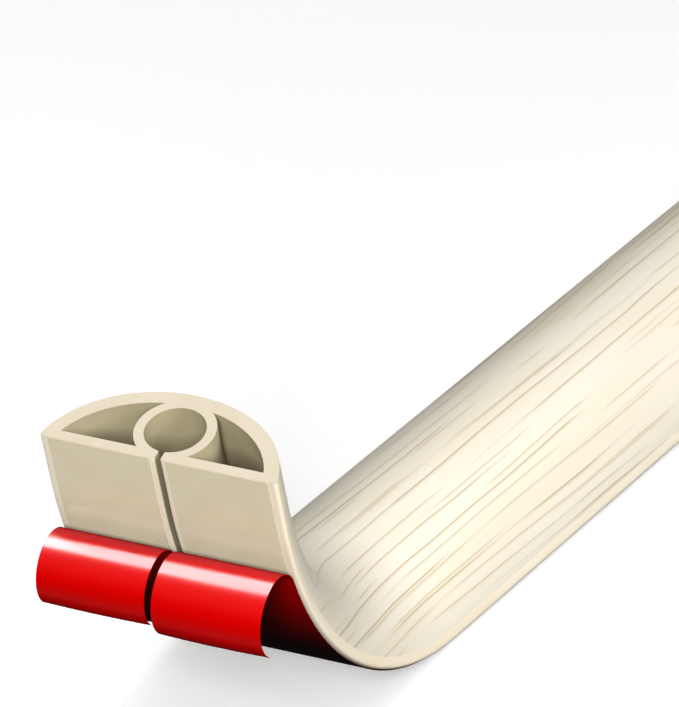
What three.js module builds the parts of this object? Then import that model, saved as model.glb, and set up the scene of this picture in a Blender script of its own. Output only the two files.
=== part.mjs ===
// Floor cord cover: a length of soft extruded PVC with a domed top and a flat underside.
// A round channel for one cord runs through it and opens through a slit in the underside.
// A strip of double-sided tape lies along each half of the underside under a release film.
// One end is bent up off the floor, with both films peeled back from it and curled over.
// Millimetres, +Z up. X runs across the strip and +Y along it, away from the lifted end.

import * as THREE from 'three';

// Section of the extruded strip
const coverWidth = 66;
const channelDiameter = 16;
const channelWall = 2.7;
const baseWall = 3;
const crownWall = 5;
const domeWall = 4;
const domeDrop = 3.8;
const slitWidth = 1.6;
const lipRadius = 0.5;
const edgeRadius = 0.9;

// Adhesive tapes and release films
const tapeThickness = 0.3;
const tapeEdgeMargin = 2.4;
const tapeSlitMargin = 1.6;
const filmThickness = 0.2;
const filmEdgeMargin = 0.8;
const filmSlitMargin = 0.5;

// Course of the strip: a run on the floor, a bend and a short straight end
const developedLength = 1000;
const bendRadius = 114;
const bendAngle = THREE.MathUtils.degToRad(68);
const straightEnd = 17;

// Peeled ends of the films
const peeledLength = 34.5;
const peelAngle = THREE.MathUtils.degToRad(10);
const leftCurlRadius = 10;
const leftCurlTurn = THREE.MathUtils.degToRad(192);
const rightCurlRadius = 10.8;
const rightCurlTurn = THREE.MathUtils.degToRad(204);

// Fineness of the faceted curves
const bendSteps = 16;
const domeSteps = 30;
const chamberArcSteps = 10;
const channelSteps = 30;
const lipSteps = 3;
const curlStepAngle = THREE.MathUtils.degToRad(12);

// Heights in the section are measured from the flat underside
const coverHeight = baseWall + channelDiameter + crownWall;
const channelHeight = baseWall + channelDiameter / 2;
const halfWidth = coverWidth / 2;
const halfSlit = slitWidth / 2;
const filmTop = -tapeThickness;
const filmBottom = filmTop - filmThickness;

// The dome is an ellipse that starts at the strip's full width, above its rounded edges
const domeRise = coverHeight + domeDrop;
const domeHalfSpan = halfWidth / Math.sqrt(1 - ((edgeRadius + domeDrop) / domeRise) ** 2);

const pvc = { color: 0xf1e3cb, roughness: 0.5, metalness: 0 };
const adhesive = { color: 0xd3c4a5, roughness: 0.4, metalness: 0 };
const filmRed = { color: 0xe40100, roughness: 0.18, metalness: 0 };

// Angle on the dome, or on an ellipse set in from it, between its crown and a height
function domeAngle(height, inset = 0) {
  return Math.acos((height + domeDrop) / (domeRise - inset));
}

// Point on the dome, or on an ellipse set in from it, at an angle from the crown
function domePoint(angle, inset = 0) {
  const x = (domeHalfSpan - inset) * Math.sin(angle);
  return new THREE.Vector2(x, (domeRise - inset) * Math.cos(angle) - domeDrop);
}

function circlePoint(radius, angle) {
  return new THREE.Vector2(radius * Math.sin(angle), channelHeight + radius * Math.cos(angle));
}

// Points from one angle to another, both ends included
function sweep(pointAt, from, to, steps) {
  return Array.from({ length: steps + 1 }, (_, i) => pointAt(from + (to - from) * (i / steps)));
}

// Rounded corner between two points, bent towards their corner point
function corner(from, at, to) {
  const curve = new THREE.QuadraticBezierCurve(from, at, to);
  return curve.getPoints(lipSteps);
}

function mirrored(points) {
  return points.map((p) => new THREE.Vector2(-p.x, p.y)).reverse();
}

// Angle from the crown at which the channel's wall leaves the inside of the dome
function crownJoinAngle() {
  const outer = channelDiameter / 2 + channelWall;
  const insideDome = (angle) => {
    const point = circlePoint(outer, angle);
    const across = point.x / (domeHalfSpan - domeWall);
    const up = (point.y + domeDrop) / (domeRise - domeWall);
    return across ** 2 + up ** 2 < 1;
  };
  let low = 0;
  let high = Math.PI / 2;
  while (high - low > 1e-9) {
    const middle = (low + high) / 2;
    if (insideDome(middle)) high = middle;
    else low = middle;
  }
  return high;
}

// Right-hand side chamber, between the base wall, the dome and the channel's wall
function chamberOutline() {
  const outer = channelDiameter / 2 + channelWall;
  const join = crownJoinAngle();
  const foot = Math.PI - Math.asin(Math.sqrt(outer ** 2 - (channelHeight - baseWall) ** 2) / outer);
  const joinPoint = circlePoint(outer, join);
  const tip = domeAngle(baseWall, domeWall);
  const top = domeAngle(joinPoint.y, domeWall);
  const roof = sweep((a) => domePoint(a, domeWall), tip, top, chamberArcSteps);
  const wall = sweep((a) => circlePoint(outer, a), join, foot, chamberArcSteps);
  return [...roof, ...wall.slice(1)];
}

// Right half of the outline, from the crown of the channel to the crown of the dome
function halfOutline() {
  const radius = channelDiameter / 2;
  const lipAngle = Math.PI - Math.asin((halfSlit + lipRadius) / radius);
  const lipTop = circlePoint(radius, lipAngle);
  const channel = sweep((a) => circlePoint(radius, a), 0, lipAngle, channelSteps / 2);
  const upperLip = corner(
    lipTop,
    new THREE.Vector2(halfSlit, lipTop.y),
    new THREE.Vector2(halfSlit, lipTop.y - lipRadius),
  );
  const lowerLip = corner(
    new THREE.Vector2(halfSlit, lipRadius),
    new THREE.Vector2(halfSlit, 0),
    new THREE.Vector2(halfSlit + lipRadius, 0),
  );
  const edge = corner(
    new THREE.Vector2(halfWidth - edgeRadius, 0),
    new THREE.Vector2(halfWidth, 0),
    new THREE.Vector2(halfWidth, edgeRadius),
  );
  const dome = sweep((a) => domePoint(a), domeAngle(edgeRadius), 0, domeSteps / 2);
  return [...channel, ...upperLip.slice(1), ...lowerLip, ...edge, ...dome.slice(1)];
}

// The channel opens through the slit, so one outline goes round the strip and the channel
function stripSection() {
  const right = halfOutline();
  const left = mirrored(right);
  const shape = new THREE.Shape([...right, ...left.slice(1, -1)]);
  const chamber = chamberOutline();
  shape.holes.push(new THREE.Path(chamber), new THREE.Path(mirrored(chamber)));
  return shape;
}

// Flat layer under one half of the strip, side -1 on the left and 1 on the right
function layerSection(side, slitMargin, edgeMargin, bottom, top) {
  const inner = side * (halfSlit + slitMargin);
  const outer = side * (halfWidth - edgeMargin);
  const low = Math.min(inner, outer);
  const high = Math.max(inner, outer);
  return new THREE.Shape([
    new THREE.Vector2(low, bottom),
    new THREE.Vector2(high, bottom),
    new THREE.Vector2(high, top),
    new THREE.Vector2(low, top),
  ]);
}

// Station on the underside's course, a length away from the lifted end, with its lift angle
function stationAt(fromEnd) {
  const bendLength = bendRadius * bendAngle;
  const onBend = Math.min(Math.max(straightEnd + bendLength - fromEnd, 0), bendLength);
  const lift = onBend / bendRadius;
  const past = Math.max(straightEnd - fromEnd, 0);
  const run = Math.max(fromEnd - straightEnd - bendLength, 0);
  return {
    y: run - bendRadius * Math.sin(lift) - past * Math.cos(lift),
    z: -filmBottom + bendRadius * (1 - Math.cos(lift)) + past * Math.sin(lift),
    lift,
  };
}

// Lengths from the lifted end at which the strip, the tapes and the films have a section
function coursePlaces() {
  const bendLength = bendRadius * bendAngle;
  const bend = sweep((s) => s, straightEnd + bendLength, straightEnd, bendSteps);
  const places = [developedLength, ...bend, 0];
  if (!places.includes(peeledLength)) places.push(peeledLength);
  return places.sort((a, b) => b - a);
}

// The film leaves the tape at the peel line, at the peel angle, and curls outwards
function curlStations(radius, turn) {
  const peel = stationAt(peeledLength);
  const start = peel.lift - peelAngle;
  const centreY = peel.y + filmTop * Math.sin(peel.lift) - radius * Math.sin(start);
  const centreZ = peel.z + filmTop * Math.cos(peel.lift) - radius * Math.cos(start);
  const reach = radius - filmTop;
  const steps = Math.ceil(turn / curlStepAngle);
  const angles = sweep((a) => a, start, start - turn, steps);
  return angles.slice(1).map((lift) => ({
    y: centreY + reach * Math.sin(lift),
    z: centreZ + reach * Math.cos(lift),
    lift,
  }));
}

// Extrudes a section along the stations: section x goes across, section y stands off the course
function alongCourse(section, stations) {
  const steps = stations.length - 1;
  const geometry = new THREE.ExtrudeGeometry(section, {
    steps,
    depth: steps,
    bevelEnabled: false,
    curveSegments: 1,
  });
  const position = geometry.getAttribute('position');
  for (let i = 0; i < position.count; i += 1) {
    const { y, z, lift } = stations[Math.round(position.getZ(i))];
    const off = position.getY(i);
    position.setXYZ(i, position.getX(i), y + off * Math.sin(lift), z + off * Math.cos(lift));
  }
  geometry.computeVertexNormals();
  return geometry;
}

function addPiece(group, name, finish, geometry) {
  const mesh = new THREE.Mesh(geometry, new THREE.MeshStandardMaterial(finish));
  mesh.name = name;
  group.add(mesh);
}

function buildCover() {
  const strip = new THREE.Group();
  const places = coursePlaces();
  const course = places.map(stationAt);
  const taped = places.filter((place) => place >= peeledLength).map(stationAt);
  addPiece(strip, 'cover_strip', pvc, alongCourse(stripSection(), course));
  const halves = [
    { name: 'left', side: -1, radius: leftCurlRadius, turn: leftCurlTurn },
    { name: 'right', side: 1, radius: rightCurlRadius, turn: rightCurlTurn },
  ];
  for (const { name, side, radius, turn } of halves) {
    const tape = layerSection(side, tapeSlitMargin, tapeEdgeMargin, filmTop, 0);
    addPiece(strip, `adhesive_tape_${name}`, adhesive, alongCourse(tape, course));
    const film = layerSection(side, filmSlitMargin, filmEdgeMargin, filmBottom, filmTop);
    const filmCourse = [...taped, ...curlStations(radius, turn)];
    addPiece(strip, `release_film_${name}`, filmRed, alongCourse(film, filmCourse));
  }
  return strip;
}

// The origin is on the floor under the middle of the strip
const cover = buildCover();
const bounds = new THREE.Box3().setFromObject(cover);
cover.position.y = -(bounds.min.y + bounds.max.y) / 2;

export default cover;
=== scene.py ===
# Floor cord cover: a soft PVC strip with its lifted end, its adhesive tapes and its release films
from math import acos, asin, atan2, cos, pi, radians, sin, sqrt

import bmesh
import bpy
from mathutils import Matrix, Vector


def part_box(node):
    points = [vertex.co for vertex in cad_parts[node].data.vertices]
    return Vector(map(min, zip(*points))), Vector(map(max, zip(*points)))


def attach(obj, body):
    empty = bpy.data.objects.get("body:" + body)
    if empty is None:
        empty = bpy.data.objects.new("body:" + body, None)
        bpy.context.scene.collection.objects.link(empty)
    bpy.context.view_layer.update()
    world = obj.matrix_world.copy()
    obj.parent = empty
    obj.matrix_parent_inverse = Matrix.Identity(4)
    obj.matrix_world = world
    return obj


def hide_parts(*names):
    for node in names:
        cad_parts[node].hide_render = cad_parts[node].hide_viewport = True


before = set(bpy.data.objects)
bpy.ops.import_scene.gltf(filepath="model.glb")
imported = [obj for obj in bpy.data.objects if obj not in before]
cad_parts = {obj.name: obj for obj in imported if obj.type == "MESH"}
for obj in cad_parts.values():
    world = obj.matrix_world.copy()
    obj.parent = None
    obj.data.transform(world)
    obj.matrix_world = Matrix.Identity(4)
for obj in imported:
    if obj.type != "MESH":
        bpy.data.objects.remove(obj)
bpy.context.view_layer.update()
mm = 0.001


# Colours and nodes

def hexColour(code):
    # sRGB hex to the linear values that the shaders use
    values = [int(code[i:i + 2], 16) / 255 for i in (1, 3, 5)]
    linear = [v / 12.92 if v <= 0.04045 else ((v + 0.055) / 1.055) ** 2.4 for v in values]
    return (*linear, 1.0)


def addNode(tree, kind, settings=None, inputs=None):
    # One node with its settings. Each input is a value, or a socket or node to link from.
    made = tree.nodes.new("ShaderNode" + kind)
    for key, value in (settings or {}).items():
        setattr(made, key, value)
    for key, value in (inputs or {}).items():
        if isinstance(value, bpy.types.Node):
            value = [socket for socket in value.outputs if socket.enabled][0]
        if isinstance(value, bpy.types.NodeSocket):
            tree.links.new(value, made.inputs[key])
        else:
            made.inputs[key].default_value = value
    return made


def setRamp(ramp, stops):
    # Colour ramp from a list of place and colour
    elements = ramp.color_ramp.elements
    while len(elements) < len(stops):
        elements.new(0.5)
    for element, (place, colour) in zip(elements, stops):
        element.position = place
        element.color = colour


def grey(value):
    return (value, value, value, 1.0)


def newMaterial(name):
    material = bpy.data.materials.new(name)
    material.use_nodes = True
    shader = material.node_tree.nodes["Principled BSDF"]
    return material, material.node_tree, shader


def flatCoordinates(tree, across, along):
    # The UV map holds metres on the flat strip, so a pattern follows the bend. Sizes in mm.
    uv = addNode(tree, "UVMap", {"uv_map": "flat"})
    scale = (1 / (across * mm), 1 / (along * mm), 1)
    return addNode(tree, "Mapping", None, {"Vector": uv, "Scale": scale})


# Materials

pvcLook = {
    # Two tones, roughness and shine of the outside, of the sawn end, of the walls of the channel and
    # chambers and of the tape's cut end. The last three are toned darker as painted shade.
    "skin": ("#f6ead3", "#f0e3c9", 0.42, 0.5),
    # painted shade: the sawn end is the outside's PVC toned darker, against the strong light on it
    "cut": ("#a99c83", "#a4977d", 0.55, 0.2),
    # painted shade: the inside walls are toned darker where the recesses lie in shade
    "inside": ("#a89f81", "#a1987b", 0.6, 0.2),
    # painted shade: the tape's cut end is toned darker, against the strong light on it
    "tapeCutPaintedShade": ("#a99c83", "#a4977d", 0.6, 0.2),
    "mottle": (14, 42),      # mm across and along, soft variation left by mixing
    "mottleEdges": (0.35, 0.6),
    "dieLine": (0.7, 90),    # mm across and along, faint lines that the die leaves
    "relief": (0.12, 0.05),  # strength, and depth of the lines in mm
    "ior": 1.5,
}


def plainPvc(name, light, dark, roughness, shine):
    # Plasticised PVC: satin, faintly streaked along its length
    material, tree, shader = newMaterial(name)
    mottle = addNode(tree, "TexNoise", None, {
        "Vector": flatCoordinates(tree, *pvcLook["mottle"]), "Scale": 1.0, "Detail": 3.0})
    mix = addNode(tree, "ValToRGB", None, {"Fac": mottle})
    low, high = pvcLook["mottleEdges"]
    setRamp(mix, [(low, hexColour(dark)), (high, hexColour(light))])
    lines = addNode(tree, "TexNoise", None, {
        "Vector": flatCoordinates(tree, *pvcLook["dieLine"]), "Scale": 1.0, "Detail": 2.0})
    strength, depth = pvcLook["relief"]
    bump = addNode(tree, "Bump", None, {
        "Height": lines, "Strength": strength, "Distance": depth * mm})
    tree.links.new(mix.outputs["Color"], shader.inputs["Base Color"])
    tree.links.new(bump.outputs["Normal"], shader.inputs["Normal"])
    shader.inputs["Roughness"].default_value = roughness
    shader.inputs["IOR"].default_value = pvcLook["ior"]
    shader.inputs["Specular IOR Level"].default_value = shine
    return material


grainLook = {
    "pale": "#e7e0cf",
    "warm": "#e3dbc5",
    "line": "#a88f4b",
    "spacing": (5.9, 5.0),      # mm between long grain lines and between short ones
    "lineLength": (110, 60),    # mm, how long a line lasts before it fades
    "strength": (0.95, 0.65),
    "seed": (40, 91.4),
    "core": 0.5,                # mm, width of the dark side of a line
    "shade": 1.2,               # mm, width of the tan shade beside it
    "profile": ((0, 0.0), (0.5, 1.0), (1, 0.35), (1.6, 0.16)),  # place in core widths, and tone
    "place": (0.5, 0.15),       # shares of the spacing: how far a line strays, and its least offset
    "fadeChange": (3.7, 0.25),  # how much the fading differs between lines, and within one
    "fadeEdges": (0.44, 0.56),
    "waver": (26, 190),         # mm across and along, how the lines wander
    "waverBy": 7,               # mm
    "tremble": (7, 45),         # mm across and along, how they tremble
    "trembleBy": 1.2,           # mm
    "fibre": (0.6, 30),         # mm across and along, fine fibre between the lines
    "fibreEdges": (0.3, 0.7),
    "fibreTones": (0.975, 1.015),
    "patch": (15, 150),         # mm across and along, warm and pale patches
    "patchEdges": (0.36, 0.56),
    "noise": {"waver": (1.0, 0.5), "tremble": (1.0, 0.5), "fibre": (3.0, 0.6), "patch": (2.0, 0.5)},
    "relief": (0.08, 0.05),     # strength, and depth of the lines in mm
    "roughness": 0.4,
}


def woodPrint():
    # Wood grain printed on the PVC dome under a clear wear layer: pale, with thin tan grain lines
    material, tree, shader = newMaterial("wood grain print on PVC")
    noise = {}
    for pattern, (detail, roughness) in grainLook["noise"].items():
        noise[pattern] = addNode(tree, "TexNoise", None, {
            "Vector": flatCoordinates(tree, *grainLook[pattern]),
            "Scale": 1.0, "Detail": detail, "Roughness": roughness})
    uv = addNode(tree, "UVMap", {"uv_map": "flat"})
    flat = addNode(tree, "SeparateXYZ", None, {"Vector": uv})
    waver = addNode(tree, "Math", {"operation": "SUBTRACT"}, {0: noise["waver"], 1: 0.5})
    wavered = addNode(tree, "Math", {"operation": "MULTIPLY_ADD"}, {
        0: waver, 1: grainLook["waverBy"] * mm, 2: flat.outputs["X"]})
    across = addNode(tree, "Math", {"operation": "MULTIPLY_ADD"}, {
        0: noise["tremble"], 1: grainLook["trembleBy"] * mm, 2: wavered})

    def grainLines(spacing, length, strength, seed):
        # Parallel lines, each moved in its own ring and drawn only where its own noise is high
        rings = addNode(tree, "Math", {"operation": "MULTIPLY_ADD"}, {
            0: across, 1: 1 / (spacing * mm), 2: seed})
        ring = addNode(tree, "Math", {"operation": "FLOOR"}, {0: rings})
        own = addNode(tree, "TexWhiteNoise", {"noise_dimensions": "1D"}, {"W": ring})
        stray, offset = grainLook["place"]
        centre = addNode(tree, "Math", {"operation": "MULTIPLY_ADD"}, {0: own, 1: stray, 2: offset})
        within = addNode(tree, "Math", {"operation": "FRACT"}, {0: rings})
        fromLine = addNode(tree, "Math", {"operation": "SUBTRACT"}, {0: within, 1: centre})
        distance = addNode(tree, "Math", {"operation": "MULTIPLY"}, {0: fromLine, 1: spacing})
        side = addNode(tree, "MapRange", None, {
            "Value": distance, "From Min": -grainLook["core"] / 2, "From Max": grainLook["shade"]})
        profile = addNode(tree, "ValToRGB", None, {"Fac": side})
        core = grainLook["core"] / (grainLook["shade"] + grainLook["core"] / 2)
        stops = [(place * core, grey(tone)) for place, tone in grainLook["profile"]]
        setRamp(profile, stops + [(1.0, grey(0.0))])
        between, inside = grainLook["fadeChange"]
        ringPlace = addNode(tree, "Math", {"operation": "MULTIPLY"}, {0: ring, 1: between})
        along = addNode(tree, "Math", {"operation": "DIVIDE"}, {
            0: flat.outputs["Y"], 1: length * mm})
        slip = addNode(tree, "Math", {"operation": "MULTIPLY"}, {0: rings, 1: inside})
        fadePlace = addNode(tree, "CombineXYZ", None, {"X": ringPlace, "Y": along, "Z": slip})
        fade = addNode(tree, "TexNoise", None, {"Vector": fadePlace, "Scale": 1.0, "Detail": 1.0})
        faded = addNode(tree, "ValToRGB", None, {"Fac": fade})
        low, high = grainLook["fadeEdges"]
        setRamp(faded, [(low, grey(0.0)), (high, grey(strength))])
        return addNode(tree, "Math", {"operation": "MULTIPLY"}, {0: profile, 1: faded})

    layers = zip(*[grainLook[key] for key in ("spacing", "lineLength", "strength", "seed")])
    longLines, shortLines = [grainLines(*layer) for layer in layers]
    line = addNode(tree, "Math", {"operation": "MAXIMUM"}, {0: longLines, 1: shortLines})
    patches = addNode(tree, "ValToRGB", None, {"Fac": noise["patch"]})
    low, high = grainLook["patchEdges"]
    setRamp(patches, [(low, hexColour(grainLook["warm"])), (high, hexColour(grainLook["pale"]))])
    fibres = addNode(tree, "ValToRGB", None, {"Fac": noise["fibre"]})
    fibreStops = zip(grainLook["fibreEdges"], grainLook["fibreTones"])
    setRamp(fibres, [(place, grey(tone)) for place, tone in fibreStops])
    base = addNode(tree, "Mix", {"data_type": "RGBA", "blend_type": "MULTIPLY"}, {
        "Factor": 1.0, "A": patches, "B": fibres})
    colour = addNode(tree, "Mix", {"data_type": "RGBA"}, {
        "Factor": line, "A": base, "B": hexColour(grainLook["line"])})
    strength, depth = grainLook["relief"]
    bump = addNode(tree, "Bump", None, {
        "Height": line, "Strength": strength, "Distance": -depth * mm})
    tree.links.new(colour.outputs["Result"], shader.inputs["Base Color"])
    tree.links.new(bump.outputs["Normal"], shader.inputs["Normal"])
    shader.inputs["Roughness"].default_value = grainLook["roughness"]
    shader.inputs["IOR"].default_value = pvcLook["ior"]
    return material


adhesiveLook = {
    "colour": "#e2d6b8",
    "shade": "#dfd2b3",
    "mottle": (9, 9),        # mm across and along, cloudiness of the coating
    "mottleEdges": (0.3, 0.6),
    "roughness": 0.05,
    "ior": 1.47,
}


def acrylicAdhesive():
    # Tan acrylic adhesive just uncovered: smooth, shiny and faintly cloudy
    material, tree, shader = newMaterial("tan acrylic adhesive")
    mottle = addNode(tree, "TexNoise", None, {
        "Vector": flatCoordinates(tree, *adhesiveLook["mottle"]), "Scale": 1.0, "Detail": 2.0})
    mix = addNode(tree, "ValToRGB", None, {"Fac": mottle})
    low, high = adhesiveLook["mottleEdges"]
    setRamp(mix, [(low, hexColour(adhesiveLook["shade"])), (high, hexColour(adhesiveLook["colour"]))])
    tree.links.new(mix.outputs["Color"], shader.inputs["Base Color"])
    shader.inputs["Roughness"].default_value = adhesiveLook["roughness"]
    shader.inputs["IOR"].default_value = adhesiveLook["ior"]
    return material


filmLook = {
    # Colour of the curl and of the laid part (darker on the outer face, as painted shade), shine and
    # clear coat
    "top": ("#bf0000", "#bf0000", 0.2, 0.2),      # silicone face
    # painted shade: the outer face is a darker red, going near black towards the floor
    "under": ("#9a0000", "#140000", 0.08, 0.0),   # outer face, duller
    "paintedShadeSpan": (28, 80),     # mm from the lifted end, where the outer face darkens to the floor
    "wave": (9, 14),         # mm across and along, soft waves in the thin sheet
    "relief": (0.25, 0.12),  # strength, and depth of the waves in mm
    "roughness": 0.26,
    "coatRoughness": 0.2,
}


def polyethyleneFilm(name, curlColour, paintedShadeColour, shine, coat):
    # Red polyethylene release film with a silicone face: glossy, with soft waves in the shine
    material, tree, shader = newMaterial(name)
    waves = addNode(tree, "TexNoise", None, {
        "Vector": flatCoordinates(tree, *filmLook["wave"]), "Scale": 1.0, "Detail": 1.0})
    strength, depth = filmLook["relief"]
    bump = addNode(tree, "Bump", None, {
        "Height": waves, "Strength": strength, "Distance": depth * mm})
    # Painted shade: along the length the colour turns from the curl's to the darker one, down to the
    # floor
    start, end = filmLook["paintedShadeSpan"]
    flat = addNode(tree, "SeparateXYZ", None, {"Vector": flatCoordinates(tree, 1, 1)})
    paintedShadeShare = addNode(tree, "MapRange", {"interpolation_type": "SMOOTHSTEP"}, {
        "Value": flat.outputs["Y"], "From Min": start, "From Max": end})
    mix = addNode(tree, "Mix", {"data_type": "RGBA"}, {
        "Factor": paintedShadeShare, "A": hexColour(curlColour), "B": hexColour(paintedShadeColour)})
    tree.links.new(mix.outputs["Result"], shader.inputs["Base Color"])
    tree.links.new(bump.outputs["Normal"], shader.inputs["Normal"])
    shader.inputs["Roughness"].default_value = filmLook["roughness"]
    shader.inputs["Specular IOR Level"].default_value = shine
    shader.inputs["Coat Weight"].default_value = coat
    shader.inputs["Coat Roughness"].default_value = filmLook["coatRoughness"]
    return material


# Course of the strip. Each piece is modelled flat, with y the length from the lifted end and z
# the height off the flat underside, and is then laid on the course.

course = {"length": 1000, "bendRadius": 114, "bendAngle": 68, "straightEnd": 17}  # mm, degrees
bendRadius = course["bendRadius"] * mm
bendAngle = radians(course["bendAngle"])
straightEnd = course["straightEnd"] * mm
stripLength = course["length"] * mm
bendLength = bendRadius * bendAngle
stripLow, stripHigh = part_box("cover_strip")
flatLevel = stripLow[2]
bendStart = stripHigh[1] - (stripLength - bendLength - straightEnd)


def liftAt(fromEnd):
    # Angle by which the strip has left the floor, at a length from its lifted end
    onBend = min(max(straightEnd + bendLength - fromEnd, 0), bendLength)
    return onBend / bendRadius


def onCourse(point):
    x, fromEnd, off = point
    lift = liftAt(fromEnd)
    past = max(straightEnd - fromEnd, 0)
    run = max(fromEnd - straightEnd - bendLength, 0)
    y = bendStart + run - bendRadius * sin(lift) - past * cos(lift)
    z = flatLevel + bendRadius * (1 - cos(lift)) + past * sin(lift)
    return Vector((x, y + off * sin(lift), z + off * cos(lift)))


def cutAlong(bm, places, axis=1):
    # Cuts the flat piece across at each place, so that it can follow a curve
    normal = [0, 0, 0]
    normal[axis] = 1
    for place in places:
        point = [0, 0, 0]
        point[axis] = place
        geometry = bm.verts[:] + bm.edges[:] + bm.faces[:]
        bmesh.ops.bisect_plane(bm, geom=geometry, plane_co=point, plane_no=normal)


def evenPlaces(first, last, count):
    return [first + (last - first) * i / count for i in range(count + 1)]


def facesEnd(face):
    # Whether a face of the flat piece belongs to one of its cut ends
    return abs(face.normal.y) > 0.5


def writeFlatMap(bm, mapPoint):
    # UV map in metres on the flat piece
    layer = bm.loops.layers.uv.new("flat")
    for face in bm.faces:
        for loop in face.loops:
            loop[layer].uv = mapPoint(loop.vert.co, face)


productPieces = bpy.data.collections.new("productPieces")


def finishPiece(bm, name, materials, placePoint, sharpAngle=50):
    # Lays the flat piece on its course and makes its object
    for vert in bm.verts:
        vert.co = placePoint(vert.co)
    bmesh.ops.recalc_face_normals(bm, faces=bm.faces[:])
    for face in bm.faces:
        face.smooth = True
    for edge in bm.edges:
        sharp = len(edge.link_faces) != 2 or edge.calc_face_angle(0) > radians(sharpAngle)
        edge.smooth = not sharp
    mesh = bpy.data.meshes.new(name)
    bm.to_mesh(mesh)
    bm.free()
    piece = bpy.data.objects.new(name, mesh)
    bpy.context.scene.collection.objects.link(piece)
    productPieces.objects.link(piece)
    for material in materials:
        mesh.materials.append(material)
    return piece


# Cover strip

strip = {
    # Section in mm, from the flat underside up
    "width": 66, "channelDiameter": 16, "channelWall": 2.7, "baseWall": 3, "crownWall": 5,
    "domeWall": 4, "domeDrop": 3.8, "slitWidth": 1.6, "lipRadius": 0.5, "edgeRadius": 0.9,
    "printEdge": 3.2,      # mm above the underside, where the print starts
    "cutEdge": 0.04,       # mm, blunting of the sawn ends' edges
    # Facets of the curves in the section, of the bend and of the run
    "channelCuts": 40, "lipCuts": 4, "edgeCuts": 5, "bandCuts": 4, "domeCuts": 44,
    "chamberCuts": 26, "bendCuts": 72, "runCuts": 6,
    "runFrom": 200,        # mm from the lifted end, first cut across the run
    "weld": 0.002,         # mm, corners of the outline nearer than this are one
    "halvings": 40,        # enough to find the chamber's corner to a millionth of a degree
    "domeMiss": 0.004,     # share by which a facet's corner may miss the dome's ellipse
    "edgeMiss": 0.02,      # mm by which it may miss the print's edge
    "grainSlant": 1.01,    # mm across per mm of height
    "slantUpTo": 50,       # degrees of lift
    "printStraight": 0.6,  # share of the print laid as seen from above, the rest round the dome
    "sharpAngle": 30,      # degrees, edges sharper than this stay sharp
}


def coverSection():
    # Right half of the section's outline in the XZ plane, mirrored and filled
    half = strip["width"] / 2 * mm
    slit = strip["slitWidth"] / 2 * mm
    lip = strip["lipRadius"] * mm
    edge = strip["edgeRadius"] * mm
    drop = strip["domeDrop"] * mm
    radius = strip["channelDiameter"] / 2 * mm
    base = strip["baseWall"] * mm
    outer = radius + strip["channelWall"] * mm
    centre = base + radius
    rise = centre + radius + strip["crownWall"] * mm + drop
    span = half / sqrt(1 - ((edge + drop) / rise) ** 2)
    wall = strip["domeWall"] * mm
    bm = bmesh.new()

    def arc(firstAngle, lastAngle, steps, scaleX, scaleZ, middle):
        # Arc of an ellipse, its angles measured from the top towards +X
        start = bm.verts.new((sin(firstAngle), 0, cos(firstAngle)))
        spun = bmesh.ops.spin(bm, geom=[start], cent=(0, 0, 0), axis=(0, 1, 0),
                              angle=lastAngle - firstAngle, steps=steps)
        end = spun["geom_last"][0]
        points = [start]
        while points[-1] is not end:
            last = points[-1]
            ahead = [e.other_vert(last) for e in last.link_edges]
            points.append([v for v in ahead if v not in points[-2:]][0])
        bmesh.ops.scale(bm, vec=(scaleX, 1, scaleZ), verts=points)
        bmesh.ops.translate(bm, vec=(0, 0, middle), verts=points)
        return points

    def line(a, b):
        bm.edges.new((a, b))

    def domeAngle(height, inset=0):
        return acos((height + drop) / (rise - inset))

    # Channel, slit, underside, edge and dome
    lipAngle = pi - asin((slit + lip) / radius)
    channel = arc(0, lipAngle, strip["channelCuts"], radius, radius, centre)
    lipTop = channel[-1].co.z
    upperLip = arc(radians(360), radians(270), strip["lipCuts"], lip, lip, 0)
    bmesh.ops.translate(bm, vec=(slit + lip, 0, lipTop - lip), verts=upperLip)
    lowerLip = arc(radians(270), radians(180), strip["lipCuts"], lip, lip, 0)
    bmesh.ops.translate(bm, vec=(slit + lip, 0, lip), verts=lowerLip)
    corner = arc(radians(180), radians(90), strip["edgeCuts"], edge, edge, 0)
    bmesh.ops.translate(bm, vec=(half - edge, 0, edge), verts=corner)
    printAngle = domeAngle(strip["printEdge"] * mm)
    arc(domeAngle(edge), printAngle, strip["bandCuts"], span, rise, -drop)
    arc(printAngle, 0, strip["domeCuts"], span, rise, -drop)
    line(upperLip[-1], lowerLip[0])
    line(lowerLip[-1], corner[0])

    # Side chamber, from its tip over the dome's inside and down the channel's wall
    low, high = 0, pi / 2
    for _ in range(strip["halvings"]):
        join = (low + high) / 2
        x = outer * sin(join) / (span - wall)
        z = (centre + outer * cos(join) + drop) / (rise - wall)
        if x * x + z * z < 1:
            high = join
        else:
            low = join
    joinHeight = centre + outer * cos(join)
    foot = pi - asin(sqrt(outer ** 2 - radius ** 2) / outer)
    roof = arc(domeAngle(base, wall), domeAngle(joinHeight, wall), strip["chamberCuts"],
               span - wall, rise - wall, -drop)
    side = arc(join, foot, strip["chamberCuts"], outer, outer, centre)
    line(side[-1], roof[0])
    weld = strip["weld"] * mm
    bmesh.ops.remove_doubles(bm, verts=bm.verts[:], dist=weld)
    bmesh.ops.mirror(bm, geom=bm.verts[:] + bm.edges[:], matrix=Matrix(), axis="X",
                     merge_dist=weld)
    bmesh.ops.triangle_fill(bm, use_beauty=True, edges=bm.edges[:])
    return bm, span, rise, drop


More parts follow.
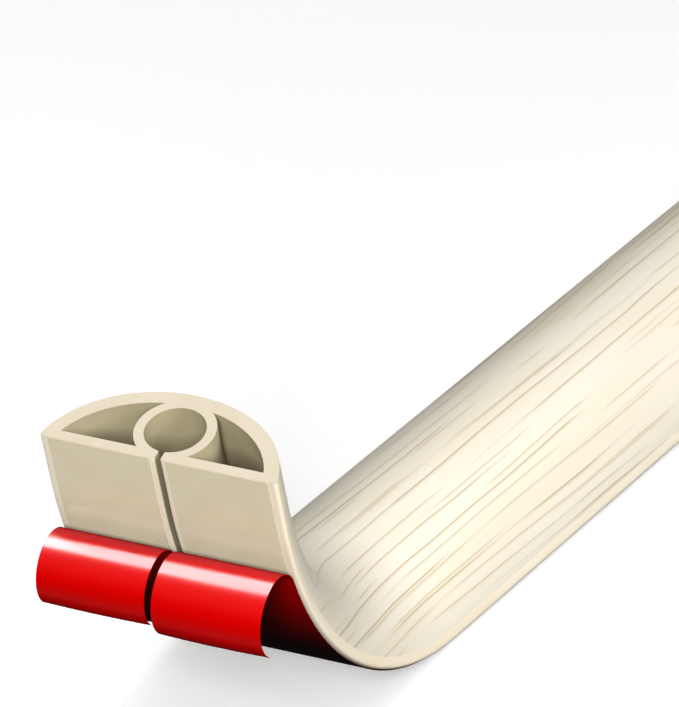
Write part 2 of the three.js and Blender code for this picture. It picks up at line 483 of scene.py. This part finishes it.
def buildCoverStrip(materials):
    bm, span, rise, drop = coverSection()
    extruded = bmesh.ops.extrude_face_region(bm, geom=bm.faces[:])
    moved = [v for v in extruded["geom"] if isinstance(v, bmesh.types.BMVert)]
    bmesh.ops.translate(bm, vec=(0, stripLength, 0), verts=moved)
    bmesh.ops.recalc_face_normals(bm, faces=bm.faces[:])
    # Knife edge of each cut end, slightly blunted
    blunt = strip["cutEdge"] * mm
    for end, inward in ((0, 1), (stripLength, -1)):
        cap = [f for f in bm.faces
               if facesEnd(f) and abs(f.calc_center_median().y - end) < blunt]
        ringed = bmesh.ops.inset_region(bm, faces=cap, thickness=blunt, use_boundary=True,
                                        use_even_offset=True)
        inner = {v for f in cap for v in f.verts}
        outerRing = {v for f in ringed["faces"] for v in f.verts} - inner
        bmesh.ops.translate(bm, vec=(0, inward * blunt, 0), verts=list(outerRing))
    cutAlong(bm, evenPlaces(straightEnd, straightEnd + bendLength, strip["bendCuts"]))
    cutAlong(bm, evenPlaces(strip["runFrom"] * mm, stripLength, strip["runCuts"])[:-1])
    wall = strip["domeWall"] * mm
    lowestPrint = (strip["printEdge"] - strip["edgeMiss"]) * mm

    def onDome(point):
        ratio = (point.x / span) ** 2 + ((point.z + drop) / rise) ** 2
        return abs(ratio - 1) < strip["domeMiss"] and point.z > lowestPrint

    # Walls of the channel and chambers, which take a darker tone as painted shade
    def insideWallsPaintedShade(point):
        ratio = (point.x / (span - wall / 2)) ** 2 + ((point.z + drop) / (rise - wall / 2)) ** 2
        inSlit = abs(point.x) < strip["slitWidth"] * mm and point.z > strip["lipRadius"] * mm / 2
        return ratio < 1 and (inSlit or point.z > strip["baseWall"] * mm / 2)

    for face in bm.faces:
        # The sawn ends take a darker tone of the PVC as painted shade
        if facesEnd(face):
            face.material_index = 2
        elif all(onDome(v.co) for v in face.verts):
            face.material_index = 1
        # The walls of the channel and chambers take the darker tone, painted shade
        elif all(insideWallsPaintedShade(v.co) for v in face.verts):
            face.material_index = 3

    def printPlace(point):
        # Partly laid straight down on the dome, so it widens towards the far side. On the bend
        # its grain doesn't turn with the strip but runs on over the near edge, as photographed.
        arc = atan2(point.x / span, (point.z + drop) / rise) * (span + rise) / 2
        lift = min(liftAt(point.y), radians(strip["slantUpTo"]))
        risen = (bendRadius - point.z) * (1 - cos(lift))
        straight = strip["printStraight"]
        across = straight * (point.x - strip["grainSlant"] * point.z) + (1 - straight) * arc
        return across - strip["grainSlant"] * risen, point.y

    def mapPlace(point, face):
        if facesEnd(face):
            return point.x, point.z
        if face.material_index == 1:
            return printPlace(point)
        return point.x + point.z, point.y

    writeFlatMap(bm, mapPlace)
    piece = finishPiece(bm, "softPvcStrip", materials, onCourse, strip["sharpAngle"])
    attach(piece, "root")
    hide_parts("cover_strip")
    piece.visible_glossy = False   # so the curled films shine with the softbox over them
    return piece


# Adhesive tapes and release films

# Millimetres, degrees and facets
tape = {"thickness": 0.3, "edgeMargin": 2.4, "slitMargin": 1.6, "bendCuts": 72}
film = {
    "thickness": 0.2, "edgeMargin": 1.2, "slitMargin": 0.5, "peeled": 34.5, "peelAngle": 10,
    "bendCuts": 60, "curlCuts": 64, "acrossCuts": 20,
    "left": {"radius": 10, "turn": 192, "flare": 0.25},
    "right": {"radius": 10.8, "turn": 204, "flare": 0.3},
}


def sheetEdges(side, layer):
    # Inner and outer edge of a layer under one half of the strip, side -1 left and 1 right
    inner = side * (strip["slitWidth"] / 2 + layer["slitMargin"]) * mm
    outer = side * (strip["width"] / 2 - layer["edgeMargin"]) * mm
    return inner, outer


def flatSheet(side, layer, bottom, top, first, last):
    inner, outer = sheetEdges(side, layer)
    bm = bmesh.new()
    bmesh.ops.create_cube(bm, size=1)
    bmesh.ops.scale(bm, vec=(abs(outer - inner), last - first, top - bottom), verts=bm.verts[:])
    bmesh.ops.translate(bm, vec=((inner + outer) / 2, (first + last) / 2, (bottom + top) / 2),
                        verts=bm.verts[:])
    return bm


def buildTape(side, name, materials):
    thickness = tape["thickness"] * mm
    bm = flatSheet(side, tape, -thickness, 0, 0, stripLength)
    cutAlong(bm, evenPlaces(straightEnd, straightEnd + bendLength, tape["bendCuts"]))
    # The tape's cut ends take a darker tone as painted shade
    for face in bm.faces:
        face.material_index = 1 if facesEnd(face) else 0
    writeFlatMap(bm, lambda point, face: (point.x, point.y))
    piece = finishPiece(bm, "adhesiveTape" + name.capitalize(), materials, onCourse)
    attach(piece, "root")
    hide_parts("adhesive_tape_" + name)
    piece.visible_glossy = False   # for the same reason as the strip


def buildFilm(side, name, topFilm, underFilm):
    curl = film[name]
    top = -tape["thickness"] * mm
    bottom = top - film["thickness"] * mm
    peeled = film["peeled"] * mm
    radius = curl["radius"] * mm
    turn = radians(curl["turn"])
    freeEnd = peeled - radius * turn
    peelLift = liftAt(peeled)
    startLift = peelLift - radians(film["peelAngle"])
    peelPoint = onCourse((0, peeled, top))
    centre = peelPoint - radius * Vector((0, sin(startLift), cos(startLift)))
    quarter = strip["width"] / 4 * mm

    def onFilm(point):
        x, fromEnd, off = point
        if fromEnd >= peeled:
            return onCourse(point)
        curled = (peeled - fromEnd) / radius
        lift = startLift - curled
        # The free end opens a little towards its corners, as a thin film does
        share = curled / turn
        flare = curl["flare"] * mm * share ** 2 * ((x - side * quarter) / quarter) ** 2
        reach = radius + (off - top) - flare
        return Vector((x, centre.y + reach * sin(lift), centre.z + reach * cos(lift)))

    bm = flatSheet(side, film, bottom, top, freeEnd, stripLength)
    cutAlong(bm, evenPlaces(freeEnd, peeled, film["curlCuts"]))
    cutAlong(bm, evenPlaces(peeled, straightEnd + bendLength, film["bendCuts"]))
    inner, outer = sheetEdges(side, film)
    cutAlong(bm, evenPlaces(inner, outer, film["acrossCuts"]), axis=0)
    # The outer face and the cut edges take the darker material, as painted shade
    for face in bm.faces:
        face.material_index = 0 if face.normal.z > 0.5 else 1
    writeFlatMap(bm, lambda point, face: (point.x, point.y))
    piece = finishPiece(bm, "releaseFilm" + name.capitalize(), [topFilm, underFilm], onFilm)
    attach(piece, "root")
    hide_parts("release_film_" + name)
    piece.visible_diffuse = False   # or it would turn the adhesive over it pink


coverMaterials = [
    plainPvc("soft PVC, outside", *pvcLook["skin"]),
    woodPrint(),
    plainPvc("soft PVC, cut end, painted shade", *pvcLook["cut"]),
    plainPvc("soft PVC, inside walls, painted shade", *pvcLook["inside"]),
]
tapeMaterials = [acrylicAdhesive(), plainPvc("tape carrier, cut end, painted shade", *pvcLook["tapeCutPaintedShade"])]
filmTopMaterial = polyethyleneFilm("red release film, silicone face", *filmLook["top"])
filmUnderMaterial = polyethyleneFilm("red release film, outer face, painted shade", *filmLook["under"])
print("materials made")

coverPiece = buildCoverStrip(coverMaterials)
print("cover strip made,", len(coverPiece.data.polygons), "faces")
for halfName, halfSide in (("left", -1), ("right", 1)):
    buildTape(halfSide, halfName, tapeMaterials)
    buildFilm(halfSide, halfName, filmTopMaterial, filmUnderMaterial)
print("tapes and films made")


# Floor, light and camera

studio = {
    "floorSize": 12,         # metres
    "floorSink": 0.05,       # mm below the underside
    "floorColour": "#fbfafa",
    "floorRoughness": 0.6,
    "floorGlow": 0.38,
    "backdrop": 0.8,         # what the camera sees above the floor's far edge
    # Height, from 0 straight down to 1 straight up, and brightness
    "sky": ((0.45, 0.01), (0.53, 0.07), (0.75, 0.32), (1.0, 0.5)),
    # White table in front of the strip, as its glossy underside sees it: brightness, and the
    # directions between which it fades in, forwards and downwards
    "table": 0.12,
    "tableFront": (-0.05, -0.3),
    "tableBelow": (-0.5, -0.8),
}


def buildFloor():
    bm = bmesh.new()
    bmesh.ops.create_grid(bm, x_segments=1, y_segments=1, size=studio["floorSize"] / 2)
    bmesh.ops.translate(bm, vec=(0, 0, -studio["floorSink"] * mm), verts=bm.verts[:])
    mesh = bpy.data.meshes.new("studioFloor")
    bm.to_mesh(mesh)
    bm.free()
    floor = bpy.data.objects.new("studioFloor", mesh)
    bpy.context.scene.collection.objects.link(floor)
    material, _, shader = newMaterial("white studio floor")
    shader.inputs["Base Color"].default_value = hexColour(studio["floorColour"])
    shader.inputs["Roughness"].default_value = studio["floorRoughness"]
    shader.inputs["Emission Color"].default_value = hexColour(studio["floorColour"])
    shader.inputs["Emission Strength"].default_value = studio["floorGlow"]
    mesh.materials.append(material)
    # The floor throws no light back up, as with black cards around a small studio table
    floor.visible_diffuse = False
    floor.visible_glossy = False


def buildSky():
    world = bpy.data.worlds.new("studio sky")
    bpy.context.scene.world = world
    world.use_nodes = True
    tree = world.node_tree
    background = tree.nodes["Background"]
    coordinates = addNode(tree, "TexCoord")
    split = addNode(tree, "SeparateXYZ", None, {"Vector": coordinates.outputs["Generated"]})
    height = addNode(tree, "MapRange", None, {
        "Value": split.outputs["Z"], "From Min": -1.0, "From Max": 1.0})
    ramp = addNode(tree, "ValToRGB", None, {"Fac": height})
    setRamp(ramp, [(place, grey(brightness)) for place, brightness in studio["sky"]])
    # The table in front is lit and the table behind the strip lies in its shade
    fades = []
    for axis, (first, last) in (("Y", studio["tableFront"]), ("Z", studio["tableBelow"])):
        fades.append(addNode(tree, "MapRange", {"interpolation_type": "SMOOTHSTEP"}, {
            "Value": split.outputs[axis], "From Min": first, "From Max": last}))
    table = addNode(tree, "Math", {"operation": "MULTIPLY"}, {0: fades[0], 1: fades[1]})
    light = addNode(tree, "Mix", {"data_type": "RGBA"}, {
        "Factor": table, "A": ramp, "B": grey(studio["table"])})
    # Seen directly, above the far edge of the floor, the studio is pale
    path = addNode(tree, "LightPath")
    seen = addNode(tree, "Mix", {"data_type": "RGBA"}, {
        "Factor": path.outputs["Is Camera Ray"], "A": light, "B": grey(studio["backdrop"])})
    tree.links.new(seen.outputs["Result"], background.inputs["Color"])


def addSoftbox(name, place, aim, size, power, diffuse=True, glossy=True, onFloor=True):
    # What doesn't shine on the floor shines on the product's pieces only
    data = bpy.data.lights.new(name, "AREA")
    data.shape = "RECTANGLE"
    data.size, data.size_y = size
    data.energy = power
    light = bpy.data.objects.new(name, data)
    bpy.context.scene.collection.objects.link(light)
    turn = (aim - place).to_track_quat("-Z", "X").to_matrix()
    light.matrix_world = Matrix.Translation(place) @ turn.to_4x4()
    light.visible_camera = False
    light.visible_diffuse = diffuse
    light.visible_glossy = glossy
    if not onFloor:
        light.light_linking.receiver_collection = productPieces


cameraView = {
    "azimuth": 24.96, "elevation": 22.65, "roll": 1.283,   # degrees, fitted to the photograph
    "distance": 2.3607, "focalLength": 9000,               # metres, pixels
    "aimHeight": 33,                                       # mm above the underside, where it lifts
    "aimPixel": (344.96, 499.31), "frame": (679, 707),
    "sensorWidth": 36,                                     # mm
    "clipEnd": 100,                                        # metres
}


def placeCamera():
    azimuth = radians(cameraView["azimuth"])
    elevation = radians(cameraView["elevation"])
    roll = radians(cameraView["roll"])
    back = Vector((sin(azimuth) * cos(elevation), -cos(azimuth) * cos(elevation), sin(elevation)))
    level = Vector((cos(azimuth), sin(azimuth), 0))
    upright = back.cross(level)
    right = cos(roll) * level + sin(roll) * upright
    up = -sin(roll) * level + cos(roll) * upright
    width, height = cameraView["frame"]
    perPixel = cameraView["distance"] / cameraView["focalLength"]
    offX = (cameraView["aimPixel"][0] - width / 2) * perPixel
    offY = (cameraView["aimPixel"][1] - height / 2) * perPixel
    aim = Vector((0, bendStart, flatLevel + cameraView["aimHeight"] * mm))
    eye = aim + back * cameraView["distance"] - right * offX + up * offY
    data = bpy.data.cameras.new("photoCamera")
    data.sensor_fit = "HORIZONTAL"
    data.sensor_width = cameraView["sensorWidth"]
    data.lens = cameraView["focalLength"] / width * data.sensor_width
    data.clip_end = cameraView["clipEnd"]
    camera = bpy.data.objects.new("photoCamera", data)
    bpy.context.scene.collection.objects.link(camera)
    rotation = Matrix((right, up, back)).transposed()
    camera.matrix_world = Matrix.Translation(eye) @ rotation.to_4x4()
    bpy.context.scene.camera = camera


buildFloor()
buildSky()
endPoint = onCourse((0, 0, 0))

softboxes = {
    # direction from the lifted end, distance (m), size (m), power (W) and what sees it
    "frontFill": ((0.3, -0.88, 0.36), 2.0, (0.9, 0.6), 45, {"glossy": False}),
    "rightKey": ((0.85, -0.05, 0.5), 2.2, (1.0, 1.0), 35, {"glossy": False, "onFloor": False}),
    "leftFill": ((-0.6, -0.3, 0.74), 2.2, (1.0, 1.0), 13, {"glossy": False, "onFloor": False}),
    "filmGloss": ((-0.34, 0.2, 0.9), 1.1, (0.4, 1.0), 54, {"diffuse": False}),
}
for boxName, (direction, distance, size, power, seen) in softboxes.items():
    place = endPoint + distance * Vector(direction).normalized()
    addSoftbox(boxName, place, endPoint, size, power, **seen)
placeCamera()
bpy.context.scene.view_settings.view_transform = "Standard"
bpy.context.scene.view_settings.look = "None"
print("studio made")
